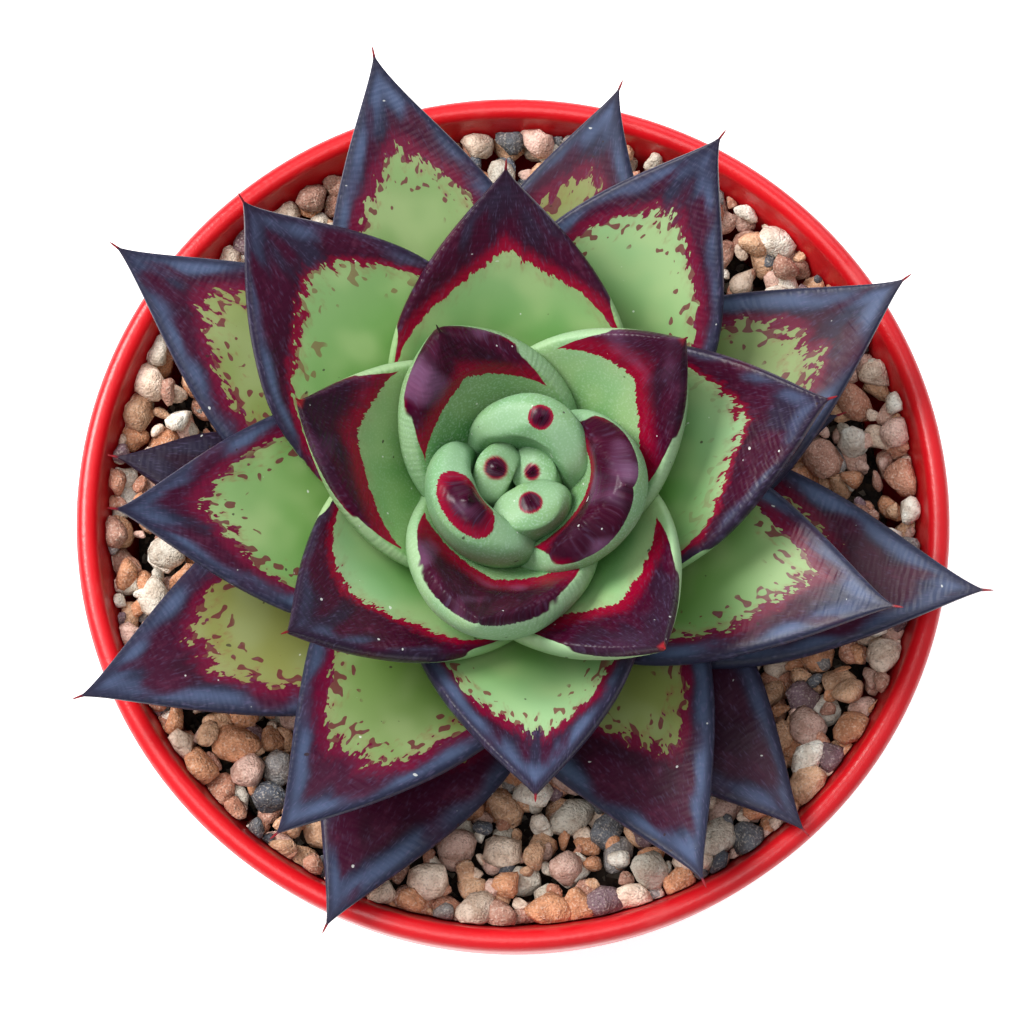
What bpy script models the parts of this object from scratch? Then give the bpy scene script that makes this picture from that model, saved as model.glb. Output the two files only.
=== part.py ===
"""A potted echeveria: a dark-edged rosette of thick pointed leaves on a short stem, rooted in soil
under a dressing of gravel, in a round plastic pot. Metres, +Z up, the origin at the middle of the
pot's underside."""

import math
import random

import bmesh
import bpy
from mathutils import Vector

# Pot, all heights above the surface it stands on
POT_HEIGHT = 0.105
RIM_RADIUS = 0.070
BASE_RADIUS = 0.0495
LIP_WIDTH = 0.0036
COLLAR_HEIGHT = 0.014
WALL = 0.0020
FLOOR = 0.0030
WALL_DRAFT = 0.186
FOOT_RECESS = 0.0015
FOOT_WIDTH = 0.0040
PAD_RADIUS = 0.0090
COLLAR_TAPER = 0.0006
CHAMFER = 0.0010
CORNER = 0.0020
DRAIN_RADIUS = 0.0045
DRAIN_CIRCLE = 0.030
DRAIN_COUNT = 6
LIP_FACETS = 5
POT_STEPS = 48

# What fills the pot, with depths below the top of the rim
FIT = 0.0003
SOIL_DEPTH = 0.0205
BED_DEPTH = 0.0145
RIM_BED_DEPTH = 0.0095
DISH = (0.044, 0.052)
STONE_TOP_DEPTHS = (0.0050, 0.0070, 0.0100, 0.0100)
BED_GAP = 0.0006
STONE_WIDTH = 0.0098
RING_PITCH = 0.86
STONE_PITCH = 0.93
STONE_TILT = 0.3
STONE_SEED = 14

# Stem, with heights above the top of the rim
STEM_AXIS = Vector((0.0005, -0.0010))
STEM_RADIUS = 0.0110
DOME_FOOT = -0.0020
DOME_HEIGHT = 0.0190
ROOT_RADIUS = 0.0070
ROOT_TIP_RADIUS = 0.0030
ROOT_DEPTH = 0.045
ROOT_SHOULDER = 0.0010
ROOT_NECK = 0.0060
DOME_RINGS = 7
STEM_STEPS = 20

# Leaves, youngest first: azimuth of the blade, the tip's distance from the stem's axis, the tip's
# height over the rim, half the width, and how far the tip swings sideways from the blade's azimuth
LEAVES = (
    (150, 0.0034, 0.0280, 0.0052, 0),
    (20, 0.0024, 0.0265, 0.0048, 0),
    (288, 0.0048, 0.0305, 0.0066, 0),
    (60, 0.0086, 0.0335, 0.0112, 0),
    (209, 0.0088, 0.0345, 0.0134, 0),
    (342, 0.0165, 0.0370, 0.0166, 0),
    (110, 0.0235, 0.0410, 0.0180, 5),
    (251, 0.0250, 0.0390, 0.0190, 0),
    (35, 0.0315, 0.0400, 0.0210, -5),
    (161, 0.0340, 0.0410, 0.0220, -2),
    (302, 0.0360, 0.0400, 0.0220, -1),
    (88, 0.0465, 0.0400, 0.0240, -2),
    (212, 0.0435, 0.0380, 0.0240, -1),
    (9, 0.0490, 0.0370, 0.0240, -3),
    (133, 0.0600, 0.0360, 0.0215, -4),
    (269, 0.0505, 0.0340, 0.0245, -2),
    (58, 0.0625, 0.0330, 0.0210, -5),
    (179, 0.0620, 0.0300, 0.0230, 0),
    (334, 0.0615, 0.0270, 0.0235, 1),
    (105, 0.0735, 0.0260, 0.0215, -3),
    (234, 0.0660, 0.0240, 0.0230, -4),
    (22, 0.0705, 0.0210, 0.0215, 1),
    (142, 0.0755, 0.0190, 0.0215, 0),
    (291, 0.0675, 0.0170, 0.0230, -2),
    (75, 0.0705, 0.0150, 0.0200, -5),
    (199, 0.0755, 0.0140, 0.0220, 0),
    (341, 0.0755, 0.0120, 0.0210, 2),
    (121, 0.0600, 0.0060, 0.0170, 0),
    (240, 0.0735, 0.0070, 0.0190, 0),
    (12, 0.0560, 0.0000, 0.0140, 0),
    (166, 0.0660, 0.0040, 0.0080, 0),
    (306, 0.0690, 0.0060, 0.0170, -1),
)
FIRST_SEAT = 0.0020
SEAT_STEP = 0.00087
SEAT_SINK = 0.0012
BASE_HALF_WIDTH = 0.0060
BASE_SHARE = 0.45
BASE_FLARE = 3.4
PACKED_SHARE = 0.46

# Form of the leaves as (leaf number, value) knots: degrees of upward bend and how far out it is, full
# thickness, the share of it above the midline, how round it is below, the arc each is wrapped on against
# its half width, the lift of its edges, how soon it narrows to the tip and how blunt that is, and how far
# and over what length the tip is drawn in
BEND = ((1, 22), (3, 26), (4, 30), (5, 38), (6, 26), (9, 18), (14, 14), (29, 11), (31, 5))
ELBOW = ((3, 0.48), (5, 0.62), (6, 0.52), (7, 0.48))
THICKNESS = (
    (1, 0.0060), (3, 0.0078), (4, 0.0070), (6, 0.0080), (9, 0.0066), (12, 0.0063), (29, 0.0063), (31, 0.0046),
    (32, 0.0060),
)
UPPER_SHARE = ((1, 0.5), (6, 0.5), (9, 0.3))
LOWER_ROUND = ((6, 2.4), (9, 1.8))
WRAP = ((1, 2.4), (3, 1.3), (5, 0.8))
CUP = ((1, 0.02), (5, 0.05), (10, 0.10))
TAPER = ((1, 1.1), (6, 1.05), (9, 1.1), (11, 1.0), (13, 0.92), (16, 0.80), (20, 0.62), (32, 0.56))
BLUNT = ((1, 0.006), (3, 0.007), (4, 0.010), (5, 0.009), (6, 0.006), (7, 0.0006), (8, 0.0020), (9, 0.0))
WAIST = ((1, 0.20), (10, 0.25), (16, 0.30), (20, 0.36))
WAIST_RUN = ((1, 0.003), (10, 0.005), (20, 0.009))

# How finely the leaves are lofted, and the gap kept where the next younger leaves press on one
LEAF_RINGS = 9
LEAF_SIDES = 8
LEAF_GAP = 0.00045
NEIGHBOURS = 8

RED = (0.78, 0.012, 0.022, 1)
GREEN = (0.22, 0.40, 0.16, 1)
STEM_GREEN = (0.25, 0.24, 0.12, 1)
EARTH = (0.030, 0.021, 0.015, 1)
STONE = (0.42, 0.27, 0.20, 1)


def ramp(value, knots):
    """The height read off straight lines between (place, height) knots."""
    if value <= knots[0][0]:
        return knots[0][1]
    for (x0, y0), (x1, y1) in zip(knots, knots[1:]):
        if value <= x1:
            return y0 + (y1 - y0) * (value - x0) / (x1 - x0)
    return knots[-1][1]


def material(name, colour, roughness, metallic=0.0):
    made = bpy.data.materials.new(name)
    made.use_nodes = True
    shader = made.node_tree.nodes["Principled BSDF"]
    shader.inputs["Base Color"].default_value = colour
    shader.inputs["Roughness"].default_value = roughness
    shader.inputs["Metallic"].default_value = metallic
    return made


def add_object(name, mesh, collection, finish=None):
    made = bpy.data.objects.new(name, mesh)
    collection.objects.link(made)
    if finish:
        mesh.materials.append(finish)
    return made


def add_cutter(name, mesh, collection):
    made = add_object(name, mesh, collection)
    made.hide_render = True
    made.display_type = "WIRE"
    return made


def cut(piece, cutter, operation="DIFFERENCE"):
    boolean = piece.modifiers.new(cutter.name, "BOOLEAN")
    boolean.operation = operation
    boolean.object = cutter


def turned(name, profile, steps, collection, finish=None, axis=(0.0, 0.0)):
    """A solid turned from (radius, height) points that run down the outside and back up the inside."""
    mesh = bpy.data.meshes.new(name)
    points = [(radius, 0.0, height) for radius, height in profile]
    edges = [(i, i + 1) for i in range(len(points) - 1)]
    if profile[0][0] > 0:
        edges.append((len(points) - 1, 0))
    mesh.from_pydata(points, edges, [])
    made = add_object(name, mesh, collection, finish)
    made.location = (axis[0], axis[1], 0.0)
    screw = made.modifiers.new("turn", "SCREW")
    screw.steps = steps
    screw.render_steps = steps
    screw.use_merge_vertices = True
    screw.merge_threshold = 0.00001
    screw.use_smooth_shade = True
    return made


def wall_radius(height):
    """The pot's inner wall at a height above the surface it stands on."""
    below_lip = POT_HEIGHT - LIP_WIDTH / 2 - height
    return RIM_RADIUS - LIP_WIDTH - WALL_DRAFT * below_lip


def make_pot(collection, cutters):
    """A moulded pot: a rounded lip, a collar that stands proud, a tapered wall, a foot and drain holes."""
    lip = LIP_WIDTH / 2
    roll = [
        (
            RIM_RADIUS - lip + lip * math.cos(turn),
            POT_HEIGHT - lip + lip * math.sin(turn),
        )
        for turn in (math.pi * i / (LIP_FACETS + 1) for i in range(LIP_FACETS, -1, -1))
    ]
    collar_foot = POT_HEIGHT - COLLAR_HEIGHT
    wall_top = wall_radius(collar_foot) + WALL
    foot_inner = BASE_RADIUS - FOOT_WIDTH
    profile = roll + [
        (RIM_RADIUS - COLLAR_TAPER, collar_foot + CHAMFER),
        (RIM_RADIUS - COLLAR_TAPER - CHAMFER, collar_foot),
        (wall_top + CHAMFER / 2, collar_foot),
        (wall_top, collar_foot - CHAMFER / 2),
        (BASE_RADIUS, CHAMFER),
        (BASE_RADIUS - CHAMFER, 0.0),
        (foot_inner, 0.0),
        (foot_inner - CHAMFER, FOOT_RECESS),
        (PAD_RADIUS + CHAMFER, FOOT_RECESS),
        (PAD_RADIUS, 0.0),
        (0.0, 0.0),
        (0.0, FLOOR),
        (wall_radius(FLOOR) - CORNER, FLOOR),
        (wall_radius(FLOOR + CORNER), FLOOR + CORNER),
        (RIM_RADIUS - LIP_WIDTH, POT_HEIGHT - lip),
    ]
    pot = turned("pot", profile, POT_STEPS, collection, material("red plastic", RED, 0.28))
    for i in range(DRAIN_COUNT):
        angle = 2 * math.pi * i / DRAIN_COUNT
        bpy.ops.mesh.primitive_cylinder_add(
            vertices=12,
            radius=DRAIN_RADIUS,
            depth=4 * FLOOR,
            location=(DRAIN_CIRCLE * math.cos(angle), DRAIN_CIRCLE * math.sin(angle), FLOOR),
        )
        drain = bpy.context.object
        drain.name = f"drain {i}"
        drain.hide_render = True
        drain.display_type = "WIRE"
        move_to(drain, cutters)
        cut(pot, drain)
    return pot


def move_to(piece, collection):
    for old in list(piece.users_collection):
        old.objects.unlink(piece)
    collection.objects.link(piece)


def dome_point(seat):
    """(radius, height over the rim, outward angle) on the stem, an arc length out from its top."""
    steps = 200
    radius, height = 0.0, DOME_FOOT + DOME_HEIGHT
    for i in range(1, steps + 1):
        turn = math.pi / 2 * i / steps
        next_radius = STEM_RADIUS * math.sin(turn)
        next_height = DOME_FOOT + DOME_HEIGHT * math.cos(turn)
        step = math.hypot(next_radius - radius, next_height - height)
        if step >= seat:
            outward = math.atan2(math.cos(turn) / DOME_HEIGHT, math.sin(turn) / STEM_RADIUS)
            return next_radius, next_height, outward
        seat -= step
        radius, height = next_radius, next_height
    return STEM_RADIUS, DOME_FOOT - seat, 0.0


def stem_profile(grown):
    """The domed stem and its tapered root, grown outwards by a clearance."""
    dome = [
        (
            (STEM_RADIUS + grown) * math.sin(turn),
            POT_HEIGHT + DOME_FOOT + (DOME_HEIGHT + grown) * math.cos(turn),
        )
        for turn in (math.pi / 2 * i / DOME_RINGS for i in range(DOME_RINGS + 1))
    ]
    soil_top = POT_HEIGHT - SOIL_DEPTH
    root_tip = POT_HEIGHT - ROOT_DEPTH - grown
    return dome + [
        (STEM_RADIUS + grown, POT_HEIGHT - BED_DEPTH),
        (ROOT_RADIUS + grown, soil_top + ROOT_SHOULDER),
        (ROOT_RADIUS + grown, soil_top - ROOT_NECK),
        (ROOT_TIP_RADIUS + grown, root_tip),
        (0.0, root_tip),
    ]


def make_soil(collection, cutters):
    """Soil that fills the pot, with the plain hole that the stem's root stands in."""
    top = POT_HEIGHT - SOIL_DEPTH
    foot = FLOOR + FIT
    profile = [
        (0.0, top),
        (wall_radius(top) - FIT, top),
        (wall_radius(foot + CORNER) - FIT, foot + CORNER),
        (wall_radius(foot) - CORNER - FIT, foot),
        (0.0, foot),
    ]
    soil = turned("soil", profile, POT_STEPS, collection, material("soil", EARTH, 0.95))
    cut(soil, cutters.objects["stem clearance"])
    return soil


def make_gravel(collection, cutters):
    """A bed of gravel, dished under the leaves: rings of stones fused with the layer under them."""
    foot = POT_HEIGHT - SOIL_DEPTH + FIT
    top = POT_HEIGHT - BED_DEPTH
    rim_top = POT_HEIGHT - RIM_BED_DEPTH
    profile = [
        (0.0, top),
        (DISH[0], top),
        (DISH[1], rim_top),
        (wall_radius(rim_top) - BED_GAP, rim_top),
        (wall_radius(foot) - BED_GAP, foot),
        (0.0, foot),
    ]
    bed = turned("gravel", profile, POT_STEPS, collection, material("gravel", STONE, 0.85))
    draw = random.Random(STONE_SEED)
    stones = bpy.data.collections.new("stones")
    bpy.context.scene.collection.children.link(stones)
    outer = wall_radius(rim_top) - CHAMFER
    ring_step = RING_PITCH * STONE_WIDTH
    for ring, top_depth in enumerate(STONE_TOP_DEPTHS):
        middle = outer - STONE_WIDTH / 2 - ring * ring_step
        count = round(2 * math.pi * middle / (STONE_PITCH * STONE_WIDTH))
        for i in range(count):
            angle = math.tau * (i + 0.5 * (ring % 2) + draw.uniform(-0.12, 0.12)) / count
            size = STONE_WIDTH / 2 * draw.uniform(0.82, 1.0)
            height = size * draw.uniform(0.62, 0.82)
            centre = POT_HEIGHT - top_depth - draw.uniform(0.0, 0.0022) - height
            tilt = (draw.uniform(-STONE_TILT, STONE_TILT), draw.uniform(-STONE_TILT, STONE_TILT))
            bpy.ops.mesh.primitive_ico_sphere_add(
                subdivisions=1,
                radius=1.0,
                location=(middle * math.cos(angle), middle * math.sin(angle), centre),
                rotation=(*tilt, draw.uniform(0, math.tau)),
                scale=(size, size * draw.uniform(0.78, 1.0), height),
            )
            move_to(bpy.context.object, stones)
    union = bed.modifiers.new("stones", "BOOLEAN")
    union.operation = "UNION"
    union.operand_type = "COLLECTION"
    union.collection = stones
    union.solver = "MANIFOLD"
    apply_modifiers(bed)
    for stone in list(stones.objects):
        bpy.data.objects.remove(stone)
    bpy.data.collections.remove(stones)
    cut(bed, cutters.objects["stem clearance"])
    return bed


def apply_modifiers(piece):
    """Gives the piece its evaluated mesh and clears its modifiers."""
    bpy.context.view_layer.update()
    graph = bpy.context.evaluated_depsgraph_get()
    mesh = bpy.data.meshes.new_from_object(piece.evaluated_get(graph))
    piece.modifiers.clear()
    piece.data = mesh


def keep_main_body(piece):
    """Applies a piece's cuts and removes the crumbs that they left apart from its main body."""
    apply_modifiers(piece)
    shape = bmesh.new()
    shape.from_mesh(piece.data)
    bodies = []
    waiting = set(shape.verts)
    while waiting:
        body = set()
        edge_of_body = [waiting.pop()]
        while edge_of_body:
            vertex = edge_of_body.pop()
            body.add(vertex)
            reached = {edge.other_vert(vertex) for edge in vertex.link_edges} & waiting
            waiting -= reached
            edge_of_body.extend(reached)
        bodies.append(body)
    bodies.sort(key=len)
    for body in bodies[:-1]:
        bmesh.ops.delete(shape, geom=list(body), context="VERTS")
    shape.to_mesh(piece.data)
    shape.free()


class Leaf:
    """A thick pointed leaf, wrapped round the stem's axis: the older, the longer and the flatter."""

    def __init__(self, number):
        azimuth, reach, rise, half_width, swing = LEAVES[number - 1]
        self.azimuth = math.radians(azimuth)
        self.swing = math.radians(swing)
        self.half_width = half_width
        radius, height, outward = dome_point(FIRST_SEAT + SEAT_STEP * (number - 1))
        seat = Vector((radius, height))
        tip = Vector((reach, rise))
        self.length = 1.02 * (tip - seat).length
        bend = math.radians(ramp(number, BEND))
        rising = math.atan2(rise - height, reach - radius)
        start = Vector((math.cos(rising - bend), math.sin(rising - bend)))
        self.middle = seat + ramp(number, ELBOW) * (tip - seat).length * start
        self.seat = seat - SEAT_SINK * start
        self.tip = tip
        self.thickness = ramp(number, THICKNESS)
        self.upper_share = ramp(number, UPPER_SHARE)
        self.lower_round = ramp(number, LOWER_ROUND)
        self.wrap = ramp(number, WRAP)
        self.cup = ramp(number, CUP)
        self.taper = ramp(number, TAPER)
        self.blunt = ramp(number, BLUNT)
        self.waist = ramp(number, WAIST)
        self.waist_run = ramp(number, WAIST_RUN)

    def midline(self, along):
        """(radius, height) at a share of the leaf's length, and the direction square to it."""
        back = 1 - along
        point = back * back * self.seat + 2 * along * back * self.middle + along * along * self.tip
        heading = back * (self.middle - self.seat) + along * (self.tip - self.middle)
        heading.normalize()
        return point, Vector((-heading.y, heading.x))

    def blade(self, along):
        """What the taper to the tip leaves of the blade, with a round end on the young leaves."""
        to_tip = (1 - along) * self.length
        return self.taper * (to_tip + math.sqrt(to_tip * self.blunt))

    def width(self, along):
        """Half the width: narrow at the seat, full at the shoulders, straight or hollow to the tip."""
        to_tip = (1 - along) * self.length
        from_seat = min(BASE_HALF_WIDTH / self.half_width, BASE_SHARE) + BASE_FLARE * along
        drawn_in = 1 - self.waist * math.exp(-to_tip / self.waist_run)
        from_tip = max(self.blade(along) / self.half_width * drawn_in, 0.0001)
        return self.half_width * (from_seat**-5 + from_tip**-5 + 1) ** -0.2

    def depth(self, along):
        """The full thickness, thin where the leaves are packed at the stem and again at the tip."""
        ease = min(along / 0.5, 1.0)
        packed = PACKED_SHARE + (1 - PACKED_SHARE) * ease * ease * (3 - 2 * ease)
        point = min(1.0, self.blade(along) / (0.62 * self.half_width))
        return self.thickness * packed * max(point, 0.0001) ** 0.7

    def skin(self, along, across, upper):
        """A point of the surface: across runs from -1 to 1 between the leaf's two edges."""
        point, square = self.midline(along)
        half = self.width(along)
        full = self.depth(along)
        if upper:
            rise = self.upper_share * full * (1 - abs(across) ** 3.2) ** (1 / 3.2)
        else:
            curve = self.lower_round
            rise = (self.upper_share - 1) * full * (1 - abs(across) ** curve) ** (1 / curve)
        free = min(max((along - 0.3) / 0.4, 0.0), 1.0)
        place = (self.cup * free * half * across * across + rise) * square
        arc = max(point.x, self.wrap * half)
        turn = half * across / arc
        ahead = point.x - arc + (arc + place.x) * math.cos(turn)
        aside = (arc + place.x) * math.sin(turn)
        facing = self.azimuth + self.swing * along * along
        return Vector(
            (
                STEM_AXIS.x + ahead * math.cos(facing) - aside * math.sin(facing),
                STEM_AXIS.y + ahead * math.sin(facing) + aside * math.cos(facing),
                POT_HEIGHT + point.y + place.y,
            )
        )

    def mesh(self, name, grown):
        """A closed loft of rings from the seat to the tip, grown outwards by a clearance."""
        shape = bmesh.new()
        half_sides = LEAF_SIDES // 2
        rings = []
        for i in range(LEAF_RINGS):
            along = 0.985 * (i / (LEAF_RINGS - 1)) ** 0.9
            angles = [math.pi * j / half_sides for j in range(LEAF_SIDES)]
            rings.append(
                [shape.verts.new(self.skin(along, math.cos(a), a <= math.pi + 0.001)) for a in angles]
            )
        for ring, next_ring in zip(rings, rings[1:]):
            for j in range(LEAF_SIDES):
                k = (j + 1) % LEAF_SIDES
                shape.faces.new((ring[j], ring[k], next_ring[k], next_ring[j]))
        shape.faces.new(rings[0])
        point = shape.verts.new((self.skin(1.0, 0.0, True) + self.skin(1.0, 0.0, False)) / 2)
        for j in range(LEAF_SIDES):
            shape.faces.new((rings[-1][j], rings[-1][(j + 1) % LEAF_SIDES], point))
        bmesh.ops.triangulate(shape, faces=shape.faces)
        bmesh.ops.recalc_face_normals(shape, faces=shape.faces)
        if grown:
            shape.normal_update()
            moves = [(vertex, vertex.normal.copy()) for vertex in shape.verts]
            for vertex, normal in moves:
                vertex.co += grown * normal
        made = bpy.data.meshes.new(name)
        shape.to_mesh(made)
        shape.free()
        return made


def make_leaves(collection, cutters):
    """The rosette. Each leaf is hollowed where the stem and the younger leaves above press on it."""
    finish = material("leaf skin", GREEN, 0.45)
    presses = []
    for number in range(1, len(LEAVES) + 1):
        leaf = Leaf(number)
        name = f"leaf_{number:02d}"
        made = add_object(name, leaf.mesh(name, 0.0), collection, finish)
        made.data.shade_smooth()
        cut(made, cutters.objects["stem clearance"])
        for press in presses[-NEIGHBOURS:]:
            cut(made, press)
        keep_main_body(made)
        presses.append(add_cutter(f"press {number:02d}", leaf.mesh("press", LEAF_GAP), cutters))


def clear_scene():
    for old in list(bpy.data.objects):
        bpy.data.objects.remove(old)


def main():
    clear_scene()
    plant = bpy.data.collections.new("potted echeveria")
    cutters = bpy.data.collections.new("cutters")
    bpy.context.scene.collection.children.link(plant)
    bpy.context.scene.collection.children.link(cutters)
    clearance = turned("stem clearance", stem_profile(FIT), STEM_STEPS, cutters, axis=STEM_AXIS)
    clearance.hide_render = True
    clearance.display_type = "WIRE"
    turned("stem", stem_profile(0.0), STEM_STEPS, plant, material("stem bark", STEM_GREEN, 0.7), STEM_AXIS)
    make_pot(plant, cutters)
    make_soil(plant, cutters)
    make_gravel(plant, cutters)
    make_leaves(plant, cutters)


main()
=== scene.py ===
import math

import bmesh
import bpy
from mathutils import Matrix, Vector, noise


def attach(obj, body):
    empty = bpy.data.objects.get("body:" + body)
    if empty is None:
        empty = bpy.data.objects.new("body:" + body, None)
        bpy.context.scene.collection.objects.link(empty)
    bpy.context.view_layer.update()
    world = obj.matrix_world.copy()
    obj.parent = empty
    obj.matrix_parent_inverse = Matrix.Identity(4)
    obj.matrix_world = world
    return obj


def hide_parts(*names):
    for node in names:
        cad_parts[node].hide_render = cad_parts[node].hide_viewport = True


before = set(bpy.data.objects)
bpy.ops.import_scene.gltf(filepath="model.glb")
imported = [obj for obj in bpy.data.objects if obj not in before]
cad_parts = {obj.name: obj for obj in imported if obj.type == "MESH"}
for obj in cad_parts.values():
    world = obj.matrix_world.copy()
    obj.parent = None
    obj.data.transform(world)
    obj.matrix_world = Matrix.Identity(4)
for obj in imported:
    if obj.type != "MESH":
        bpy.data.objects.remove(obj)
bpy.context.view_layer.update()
scene = bpy.context.scene


# The setting: the plant stands on a plain pale floor in soft light, seen from almost straight above.
# A broad light comes from the left and a cooler one from behind, and the air around is bright.

scene.view_settings.view_transform = "Standard"

CAMERA_AZIMUTH = math.radians(-6.0)
CAMERA_ELEVATION = math.radians(77.3)
CAMERA_DISTANCE = 0.520
CAMERA_TARGET = Vector((-0.00018, -0.00017, 0.10496))
LENS_LENGTH = 114.39
SENSOR_WIDTH = 36.0
AIR_COLOUR = (0.94, 0.97, 1.0, 1.0)
AIR_STRENGTH = 0.38


def from_target(azimuth, elevation, distance):
    """A point at a distance from the camera's target: azimuth 0 is in front, at -Y."""
    flat = distance * math.cos(elevation)
    return CAMERA_TARGET + Vector(
        (flat * math.sin(azimuth), -flat * math.cos(azimuth), distance * math.sin(elevation))
    )


def aimed(position, target):
    """The matrix of a camera or light that looks from one point at another."""
    looking = (target - position).normalized()
    turned = looking.to_track_quat("-Z", "Y").to_matrix().to_4x4()
    return Matrix.Translation(position) @ turned


camera = bpy.data.objects.new("camera", bpy.data.cameras.new("camera"))
camera.data.sensor_width = SENSOR_WIDTH
camera.data.lens = LENS_LENGTH
camera.data.clip_start = 0.01
camera.matrix_world = aimed(from_target(CAMERA_AZIMUTH, CAMERA_ELEVATION, CAMERA_DISTANCE), CAMERA_TARGET)
scene.collection.objects.link(camera)
scene.camera = camera

LIGHTS = (
    # name, azimuth, elevation, distance, width, watts, colour
    ("key light", -125, 48, 0.9, 0.4, 10.5, (1.0, 0.98, 0.95)),
    ("cool back light", 150, 36, 0.9, 0.5, 1.7, (0.80, 0.90, 1.0)),
    ("top light", -40, 80, 1.0, 0.6, 3.8, (1.0, 1.0, 1.0)),
)
for name, azimuth, elevation, distance, width, watts, colour in LIGHTS:
    lamp = bpy.data.lights.new(name, "AREA")
    lamp.size = width
    lamp.energy = watts
    lamp.color = colour
    holder = bpy.data.objects.new(name, lamp)
    position = from_target(math.radians(azimuth), math.radians(elevation), distance)
    holder.matrix_world = aimed(position, CAMERA_TARGET)
    scene.collection.objects.link(holder)

air = bpy.data.worlds.new("bright air")
air.use_nodes = True
air.node_tree.nodes["Background"].inputs["Color"].default_value = AIR_COLOUR
air.node_tree.nodes["Background"].inputs["Strength"].default_value = AIR_STRENGTH
scene.world = air


def paint(red, green, blue):
    """A colour for a shader from the three numbers, 0 to 255, that a screen shows it with."""
    parts = [value / 255 for value in (red, green, blue)]
    linear = [part / 12.92 if part < 0.04 else ((part + 0.055) / 1.055) ** 2.4 for part in parts]
    return (*linear, 1.0)


def finish(name, colour, roughness):
    """A new material, its node tree and its shader node."""
    made = bpy.data.materials.new(name)
    made.use_nodes = True
    shader = made.node_tree.nodes["Principled BSDF"]
    shader.inputs["Base Color"].default_value = colour
    shader.inputs["Roughness"].default_value = roughness
    return made, made.node_tree, shader


def solid(name, points, faces, material, smooth=True):
    """An object of its own from points in metres, in the frame of the CAD."""
    mesh = bpy.data.meshes.new(name)
    mesh.from_pydata(points, [], faces)
    mesh.materials.append(material)
    if smooth:
        mesh.shade_smooth()
    made = bpy.data.objects.new(name, mesh)
    scene.collection.objects.link(made)
    return made


FLOOR_HALF = 1.6
FLOOR_GLOW = 0.62
floor_paint, _, floor_shader = finish("pale floor", (0.93, 0.93, 0.93, 1.0), 0.9)
floor_shader.inputs["Emission Color"].default_value = (1.0, 1.0, 1.0, 1.0)
floor_shader.inputs["Emission Strength"].default_value = FLOOR_GLOW
corners = [(x * FLOOR_HALF, y * FLOOR_HALF, 0.0) for x, y in ((-1, -1), (1, -1), (1, 1), (-1, 1))]
floor = solid("floor", corners, [(0, 1, 2, 3)], floor_paint, smooth=False)


# The pot: one piece of red polypropylene, injection moulded, with a rolled lip, a collar, a wall that
# tapers to a foot ring, and drain holes in its floor. The gloss is dulled by scuffs and dried water.

POT_HEIGHT = 0.105
RIM_RADIUS = 0.070
BASE_RADIUS = 0.0495
LIP_WIDTH = 0.0036
COLLAR_HEIGHT = 0.014
COLLAR_TAPER = 0.0006
POT_WALL = 0.0020
POT_FLOOR = 0.0030
WALL_DRAFT = 0.186
FOOT_RECESS = 0.0015
FOOT_WIDTH = 0.0040
PAD_RADIUS = 0.0090
MOULD_ROUND = 0.0011
SHARP_ANGLE = 50
POT_STEPS = 192
DRAIN_RADIUS = 0.0045
DRAIN_CIRCLE = 0.030
DRAIN_COUNT = 6


class Formula:
    """A number in a node tree. Sums with it in the script become Math nodes in the tree."""

    def __init__(self, tree, socket):
        self.tree = tree
        self.socket = socket

    def math(self, operation, *values):
        node = self.tree.nodes.new("ShaderNodeMath")
        node.operation = operation
        for place, value in zip(node.inputs, values):
            if isinstance(value, Formula):
                self.tree.links.new(value.socket, place)
            else:
                place.default_value = value
        return Formula(self.tree, node.outputs[0])

    def __add__(self, other):
        return self.math("ADD", self, other)

    def __radd__(self, other):
        return self.math("ADD", other, self)

    def __sub__(self, other):
        return self.math("SUBTRACT", self, other)

    def __rsub__(self, other):
        return self.math("SUBTRACT", other, self)

    def __mul__(self, other):
        return self.math("MULTIPLY", self, other)

    def __rmul__(self, other):
        return self.math("MULTIPLY", other, self)

    def __truediv__(self, other):
        return self.math("DIVIDE", self, other)

    def __rtruediv__(self, other):
        return self.math("DIVIDE", other, self)

    def __pow__(self, other):
        return self.math("POWER", self, other)

    def least(self, other):
        return self.math("MINIMUM", self, other)

    def most(self, other):
        return self.math("MAXIMUM", self, other)

    def size(self):
        return self.math("ABSOLUTE", self)

    def sine(self):
        return self.math("SINE", self)

    def cosine(self):
        return self.math("COSINE", self)

    def decay(self):
        """e to the power of minus this."""
        return self.math("EXPONENT", self * -1.0)

    def clamp(self):
        return self.most(0.0).least(1.0)

    def step(self, low, high):
        """0 under low, 1 over high, and an even curve between them."""
        ends = {"Value": self, "From Min": low, "From Max": high}
        node = add_node(self.tree, "ShaderNodeMapRange", ends, interpolation_type="SMOOTHSTEP")
        return out(self.tree, node)

    def mix(self, low, high):
        """low where this is 0 and high where it is 1."""
        return low + self * (high - low)


def put(tree, node, name, value):
    """Sets or links one input of a node, found by its name or by its place."""
    if isinstance(name, int):
        socket = node.inputs[name]
    else:
        socket = next(s for s in node.inputs if s.name == name and s.enabled)
    if isinstance(value, Formula):
        tree.links.new(value.socket, socket)
    elif isinstance(value, bpy.types.NodeSocket):
        tree.links.new(value, socket)
    else:
        socket.default_value = value


def add_node(tree, kind, inputs=None, **settings):
    """A new node with its settings and its inputs given."""
    node = tree.nodes.new(kind)
    for name, value in settings.items():
        setattr(node, name, value)
    for name, value in (inputs or {}).items():
        put(tree, node, name, value)
    return node


def out(tree, node, name=0):
    """One output of a node as a formula."""
    if isinstance(name, int):
        return Formula(tree, node.outputs[name])
    return Formula(tree, next(s for s in node.outputs if s.name == name and s.enabled))


def vector(tree, x, y, z):
    return add_node(tree, "ShaderNodeCombineXYZ", {0: x, 1: y, 2: z}).outputs[0]


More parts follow.
